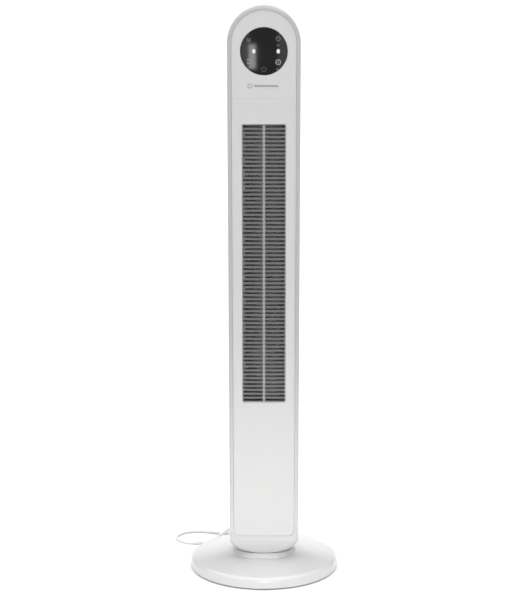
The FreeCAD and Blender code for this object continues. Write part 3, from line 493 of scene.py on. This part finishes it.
def louvre_border(shape):
    """A thin frame with a chamfer outside and a slope down to the slats inside."""
    middle = (LOUVRE_LOW + LOUVRE_HIGH) / 2
    tall = (LOUVRE_HIGH - LOUVRE_LOW) / 2
    profile = [
        (0, LOUVRE_BACK), (0, LOUVRE_FRONT + LOUVRE_CHAMFER), (LOUVRE_CHAMFER, LOUVRE_FRONT),
        (1.3, LOUVRE_FRONT), (LOUVRE_EDGE, LOUVRE_FRONT + LOUVRE_LIP), (LOUVRE_EDGE, LOUVRE_BACK),
    ]
    sections = []
    for inset, depth in profile:
        loop = rounded_loop(LOUVRE_HALF - inset, tall - inset, LOUVRE_CORNER - inset)
        sections.append([(x, depth, middle + z) for x, z in loop])
    loft(shape, sections, joined=True)


def louvre_rib(shape):
    """The upright bar down the middle, with a rounded front."""
    outline = [(RIB_HALF, LOUVRE_BACK), (-RIB_HALF, LOUVRE_BACK)]
    outline += half_round(RIB_HALF, LOUVRE_FRONT, RIB_NOSE, 8)
    ends = (LOUVRE_LOW + LOUVRE_EDGE / 2, LOUVRE_HIGH - LOUVRE_EDGE / 2)
    loft(shape, [[(x, y, end) for x, y in outline] for end in ends])


def louvre_slats(shape):
    """Level slats with rounded fronts, evenly spaced between the border's lower and upper bars."""
    pitch = (LOUVRE_HIGH - LOUVRE_LOW - LOUVRE_EDGE) / (SLAT_COUNT + 1)
    reach = LOUVRE_HALF - LOUVRE_EDGE / 2
    nose = half_round(SLAT_HALF, SLAT_FRONT, SLAT_NOSE, 6)
    for count in range(1, SLAT_COUNT + 1):
        level = LOUVRE_LOW + LOUVRE_EDGE / 2 + pitch * count
        outline = [(SLAT_BACK, level - SLAT_HALF), (SLAT_BACK, level + SLAT_HALF)]
        outline += [(depth, level - across) for across, depth in nose]
        loft(shape, [[(end, y, z) for y, z in outline] for end in (-reach, reach)])


def make_louvre(finishes):
    frame_shape = bmesh.new()
    louvre_border(frame_shape)
    louvre_rib(frame_shape)
    piece("outlet_border", to_mesh("outlet_border", frame_shape), "column",
          finishes["grille_white"], ["outlet_grille"])
    slats_shape = bmesh.new()
    louvre_slats(slats_shape)
    piece("outlet_slats", to_mesh("outlet_slats", slats_shape), "column",
          finishes["grille_grey"], ["outlet_grille"])


# ------------------------------------------------------------------ display symbols, in millimetres

LENS_LOW, LENS_HIGH = box_mm("display_lens")
LENS_MIDDLE = (LENS_LOW[2] + LENS_HIGH[2]) / 2
LENS_FACE = LENS_LOW[1]
SYMBOL_RISE = 0.12


def stroke(shape, path, width, face=LENS_FACE, closed=False):
    """A raised line of the given width along a path of (x, z) points, on a face towards -Y."""
    sections = []
    count = len(path)
    for step, (x, z) in enumerate(path):
        before = path[step - 1] if closed or step else path[0]
        after = path[(step + 1) % count] if closed or step < count - 1 else path[-1]
        run = Vector((after[0] - before[0], after[1] - before[1])).normalized() * width / 2
        left = (x - run.y, z + run.x)
        right = (x + run.y, z - run.x)
        top = face - SYMBOL_RISE
        sections.append([(left[0], face, left[1]), (right[0], face, right[1]),
                         (right[0], top, right[1]), (left[0], top, left[1])])
    loft(shape, sections, joined=closed)


def arc(centre, radius, start=0, sweep=360, steps=24):
    """Points round a centre; a whole turn leaves out its last point, which is its first."""
    across, up = centre
    angles = [math.radians(start + sweep * step / steps) for step in range(steps + (sweep < 360))]
    return [(across + radius * math.cos(angle), up + radius * math.sin(angle)) for angle in angles]


def wave(left, middle, stride, height, turn, count):
    """Points along a wave that runs across: a stride and a turn of its angle from one to the next."""
    return [(left + stride * step, middle + height * math.sin(turn * step)) for step in range(count)]


def ring(shape, centre, radius, width, face=LENS_FACE):
    stroke(shape, arc(centre, radius), width, face, closed=True)


def spot(shape, centre, half_x, half_z):
    """A filled oval on the display."""
    across, up = centre
    angles = [math.pi * step / 12 for step in range(24)]
    outline = [(across + half_x * math.cos(angle), up + half_z * math.sin(angle)) for angle in angles]
    loft(shape, [[(x, depth, z) for x, z in outline] for depth in (LENS_FACE, LENS_FACE - SYMBOL_RISE)])


def on_lens(across, up):
    """A place on the display, measured from its middle."""
    return across, LENS_MIDDLE + up


def lit_spots(shape):
    for across in (-18.7, 26.6):
        spot(shape, on_lens(across, 0), half_x=3.1, half_z=4.2)


def speed_sign(shape):
    """A ring round a dot."""
    centre = on_lens(26.6, -20)
    ring(shape, centre, radius=4.4, width=1.9)
    spot(shape, centre, half_x=1.3, half_z=1.3)


def swing_sign(shape):
    """Two facing arcs round a dot."""
    centre = on_lens(-27, -18.5)
    for start in (20, 200):
        stroke(shape, arc(centre, radius=4.2, start=start, sweep=140, steps=12), width=1.9)
    spot(shape, centre, half_x=1.2, half_z=1.2)


def breeze_sign(shape):
    """Three waves, one above the other."""
    for level in (-2.6, 0, 2.6):
        left, middle = on_lens(-31.5, 20 + level)
        stroke(shape, wave(left, middle, stride=1, height=0.6, turn=1.3, count=8), width=1.3)


def timer_sign(shape):
    """A clock face with its two hands."""
    ring(shape, on_lens(26.5, 23), radius=3.9, width=1.4)
    stroke(shape, [on_lens(26.5, 25.5), on_lens(26.5, 23), on_lens(28.4, 22)], width=1.1)


def dash_signs(shape):
    half = 2.2
    for across, up in ((-20.5, 11.5), (26.5, 11), (25, -33)):
        stroke(shape, [on_lens(across - half, up), on_lens(across + half, up)], width=2.4)


def power_sign(shape):
    """An open ring with an upright bar in its gap."""
    stroke(shape, arc(on_lens(0, -33), radius=4.2, start=125, sweep=290), width=1.4)
    stroke(shape, [on_lens(0, -32), on_lens(0, -27.6)], width=1.4)


# Name, glow, and the signs that shine with it.
SYMBOLS = [
    ("lit", 0.85, [lit_spots]),
    ("bright", 0.27, [speed_sign, swing_sign]),
    ("dim", 0.1, [breeze_sign, timer_sign, dash_signs]),
    ("faint", 0.03, [power_sign]),
]


def make_symbols():
    """Touch symbols printed on the lens, two of them fully lit."""
    for name, glow, signs in SYMBOLS:
        shape = bmesh.new()
        for sign in signs:
            sign(shape)
        piece(f"symbols_{name}", to_mesh(f"symbols_{name}", shape), "column",
              lit_white(f"symbol_{name}", glow))


MARK_LEVEL = 953
MARK_FACE = box_mm("front_panel")[0][1]
MARK_RING = -26
MARK_WAVES = 9
MARK_START = -17.5
MARK_PITCH = 5


def make_breeze_mark():
    """A plain ring and a row of little waves, printed in pale grey under the display."""
    shape = bmesh.new()
    ring(shape, (MARK_RING, MARK_LEVEL), radius=3.6, width=2.4, face=MARK_FACE)
    for place in range(MARK_WAVES):
        left = MARK_START + place * MARK_PITCH
        path = wave(left, MARK_LEVEL, stride=0.6, height=1.4, turn=math.pi / 3, count=7)
        stroke(shape, path, width=2.7, face=MARK_FACE)
    grey = Finish("printed_grey", (0.44, 0.44, 0.44), 0.5)
    grey.colour(grey.noise(300, 2).between((0.42, 0.42, 0.42), (0.46, 0.46, 0.46)))
    piece("breeze_mark", to_mesh("breeze_mark", shape), "column", grey.material)


# ------------------------------------------------------------------ screws, in millimetres

SCREW_SHANK = 1.5
SCREW_HEAD = 3.2
REAR_SCREW_SIDE = 28
REAR_SCREW_LEVELS = (341, 888.3)
REAR_SCREW_LENGTH = 14
UNDER_SCREW_COUNT = 5
UNDER_SCREW_CIRCLE = 133
UNDER_SCREW_LENGTH = 11
REAR_FACE = box_mm("rear_housing")[1][1]
UNDER_FACE = box_mm("base_underplate")[0][2]


def cross_loop(arm, half, count=32):
    """Points round a cross with four arms of one length and half width."""
    points = []
    for step in range(count):
        angle = 2 * math.pi * step / count
        longer = max(abs(math.cos(angle)), abs(math.sin(angle)))
        shorter = min(abs(math.cos(angle)), abs(math.sin(angle)))
        reach = arm / longer if arm * shorter <= half * longer else half / shorter
        points.append((reach * math.cos(angle), reach * math.sin(angle)))
    return points


def make_screws(name, places, facing, length, body, stands_for, material):
    """Pan-head screws with a cross recess, heads resting at the places and facing one way."""
    shape = bmesh.new()
    turned = [
        (SCREW_SHANK, -length), (SCREW_SHANK, 0), (SCREW_HEAD, 0), (SCREW_HEAD, 1.0),
        (SCREW_HEAD * 0.93, 1.45), (SCREW_HEAD * 0.75, 1.75),
    ]
    rings = [(circle_loop(radius), height) for radius, height in turned]
    rings += [(cross_loop(1.7, 0.5), 1.78), (cross_loop(1.1, 0.3), 0.6)]
    for place in places:
        loft(shape, [[facing @ Vector((x, y, z)) + Vector(place) for x, y in loop] for loop, z in rings])
    piece(name, to_mesh(name, shape, 30), body, material, [stands_for])


def make_all_screws(finishes):
    steel = finishes["sheet_steel"]
    rear = [(side, REAR_FACE, level) for side in (-REAR_SCREW_SIDE, REAR_SCREW_SIDE)
            for level in REAR_SCREW_LEVELS]
    backwards = Matrix.Rotation(-math.pi / 2, 3, "X")
    make_screws("rear_screws", rear, backwards, REAR_SCREW_LENGTH, "column", "housing_screws", steel)
    under = [(x, y, UNDER_FACE) for x, y in circle_loop(UNDER_SCREW_CIRCLE, UNDER_SCREW_COUNT)]
    downwards = Matrix.Rotation(math.pi, 3, "X")
    make_screws("under_screws", under, downwards, UNDER_SCREW_LENGTH, "base", "base_screws", steel)


# ------------------------------------------------------------------ cord

CORD_DIAMETER = 0.006
FLOOR_LINE = 0.0033
CORD_ROUTE = [
    (0, 0.0818, 0.058), (0, 0.104, 0.0573), (-0.012, 0.128, 0.053), (-0.033, 0.147, 0.043),
    (-0.057, 0.158, 0.0295), (-0.079, 0.158, 0.016), (-0.097, 0.146, 0.0065), (-0.114, 0.128, FLOOR_LINE),
    (-0.142, 0.119, FLOOR_LINE), (-0.170, 0.129, FLOOR_LINE), (-0.184, 0.157, FLOOR_LINE),
    (-0.172, 0.187, FLOOR_LINE), (-0.142, 0.199, FLOOR_LINE), (-0.112, 0.191, FLOOR_LINE),
    (-0.086, 0.180, FLOOR_LINE), (-0.061, 0.189, FLOOR_LINE), (-0.046, 0.211, 0.0035),
]
LEAD_ROUTE = [(0.0435, 0.234, 0.008), (0.045, 0.229, 0.0068), (0.046, 0.2221, 0.00695)]
COIL_CENTRE = (0, 0.246)
COIL_TURNS = [
    (0.0415, 0.0045), (0.0352, 0.0042), (0.0290, 0.0042),
    (0.0290, 0.0103), (0.0352, 0.0103), (0.0412, 0.0102),
]
TURN_POINTS = 18


def coil_points():
    """Turns side by side in two layers, clockwise from the coil's left side; the last is a half turn."""
    total = TURN_POINTS * len(COIL_TURNS) - TURN_POINTS // 2
    points = []
    for step in range(1, total):
        turn, share = divmod(step / TURN_POINTS, 1)
        radius, height = COIL_TURNS[int(turn)]
        if share < 0.25 and turn > 0:
            ease = math.sin(share / 0.25 * math.pi / 2)
            last_radius, last_height = COIL_TURNS[int(turn) - 1]
            radius = last_radius + (radius - last_radius) * ease
            height = last_height + (height - last_height) * ease
        angle = math.pi - 2 * math.pi * step / TURN_POINTS
        wobble = 0.0004 * math.sin(2.3 * step)
        points.append((COIL_CENTRE[0] + (radius + wobble) * math.cos(angle),
                       COIL_CENTRE[1] + (radius + wobble) * math.sin(angle), height))
    return points


def cord_line():
    """A curve object with one smooth spline through the whole route, coil and lead."""
    data = bpy.data.curves.new("mains_lead", "CURVE")
    data.dimensions = "3D"
    data.bevel_resolution = 5
    data.resolution_u = 6
    data.use_fill_caps = True
    points = CORD_ROUTE + coil_points() + LEAD_ROUTE
    spline = data.splines.new("NURBS")
    spline.points.add(len(points) - 1)
    for point, place in zip(spline.points, points):
        point.co = (*place, 1)
    spline.order_u = 3
    spline.use_endpoint_u = True
    return bpy.data.objects.new("cord_line", data)


def make_cord(finishes, with_pieces):
    """The mains lead as one smooth white tube along its route, coil and lead."""
    line = cord_line()
    path = [vertex.co.copy() for vertex in bpy.data.meshes.new_from_object(line).vertices]
    line.data.bevel_depth = CORD_DIAMETER / 2
    tube = bpy.data.meshes.new_from_object(line)
    tube.shade_smooth()
    tube.materials.clear()
    tube.materials.append(finishes["cord_white"])
    cord = bpy.data.objects.new("mains_lead", tube)
    bpy.context.scene.collection.objects.link(cord)
    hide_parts("power_cord", "plug_lead", "cord_coil")
    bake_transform(cord)


RIB_GROOVE = 0.7


def ribbed(start, end, first, last, count):
    """Depths and radii of a row of ribs that taper from the first radius to the last."""
    rings = []
    step = (end - start) / count
    for rib in range(count):
        crest = first + (last - first) * rib / count
        low = start + step * rib
        rings += [(low, crest - RIB_GROOVE), (low + step * 0.25, crest), (low + step * 0.65, crest),
                  (low + step * 0.8, crest - RIB_GROOVE)]
    return rings


PLUG_LOW, PLUG_HIGH = box_mm("power_plug")
PLUG_ACROSS = (PLUG_LOW[0] + PLUG_HIGH[0]) / 2
PLUG_LEVEL = (PLUG_LOW[2] + PLUG_HIGH[2]) / 2
# Depth, half width and half height along the plug's body, from its face to its shoulders.
PLUG_BLOCK = [
    (166, 15.6, 5.6), (166.4, 16.8, 6.4), (167.4, 17.4, 6.8), (189, 17.4, 6.8),
    (193, 16.6, 6.7), (197, 13.6, 6.4), (200, 9.6, 5.9), (201.6, 6.2, 5.2),
]


def make_plug(finishes):
    """A flat two-pin plug with rounded shoulders and a ribbed strain relief."""
    shape = bmesh.new()
    rings = PLUG_BLOCK + [(depth, radius, radius)
                          for depth, radius in ribbed(202.2, 221, first=4.6, last=3.7, count=5)]
    rings.append((PLUG_HIGH[1], 3.5, 3.5))
    sections = []
    for depth, half_x, half_z in rings:
        loop = rounded_loop(half_x, half_z, min(half_x, half_z) * 0.8 if half_x > half_z else half_x)
        sections.append([(PLUG_ACROSS + x, depth, PLUG_LEVEL + z) for x, z in loop])
    loft(shape, sections)
    return piece("mains_plug", to_mesh("mains_plug", shape), "base",
                 finishes["cord_white"], ["power_plug"])


GLAND_LOW, GLAND_HIGH = box_mm("cord_gland")
GLAND_LEVEL = (GLAND_LOW[2] + GLAND_HIGH[2]) / 2


def make_gland(finishes):
    """The ribbed strain relief where the cord leaves the column's foot."""
    shape = bmesh.new()
    rings = [
        (GLAND_LOW[1], 5), (REAR_FACE, 5), (REAR_FACE, 6.6), (REAR_FACE + 0.4, 7),
        (REAR_FACE + 2, 7), (REAR_FACE + 2.6, 6.4), (REAR_FACE + 3.2, 5.4),
    ]
    rings += ribbed(REAR_FACE + 4, GLAND_HIGH[1] - 0.9, first=5.5, last=4.3, count=6)
    rings.append((GLAND_HIGH[1], 3.9))
    loft(shape, [[(x, depth, GLAND_LEVEL + z) for x, z in circle_loop(radius)] for depth, radius in rings])
    piece("cord_relief", to_mesh("cord_relief", shape), "column",
          finishes["cord_white"], ["cord_gland"])


TIE_TURN = math.radians(120)
TIE_RADIUS = 35
TIE_LEVEL = 7.2
TIE_CORNER = 3.5
# Half width and half height of the band's section, and its place along the cord: outer face, then inner.
TIE_BAND = [
    (10.2, 6.9, -2.6), (10.2, 6.9, 2.6), (9.9, 6.6, 3),
    (9.3, 6.2, 2.8), (9.3, 6.2, -2.8), (9.9, 6.6, -3),
]


def make_tie(finishes):
    """A soft band closed round one side of the coil."""
    shape = bmesh.new()
    turn = Matrix.Rotation(TIE_TURN, 3, "Z")
    centre = Vector((*COIL_CENTRE, 0)) / MM
    sections = []
    for half_x, half_z, place in TIE_BAND:
        loop = rounded_loop(half_x, half_z, TIE_CORNER)
        sections.append([turn @ Vector((TIE_RADIUS + x, place, TIE_LEVEL + z)) + centre for x, z in loop])
    loft(shape, sections, joined=True)
    return piece("coil_band", to_mesh("coil_band", shape), "base", finishes["tie_white"],
                 ["cord_tie"])


# ------------------------------------------------------------------ build

make_camera()
finishes = make_finishes()
paint_nodes(finishes)
make_louvre(finishes)
make_symbols()
make_breeze_mark()
make_all_screws(finishes)
make_gland(finishes)
make_cord(finishes, [make_plug(finishes), nodes["plug_pins"], make_tie(finishes)])
make_floor()
make_world()
make_lights()
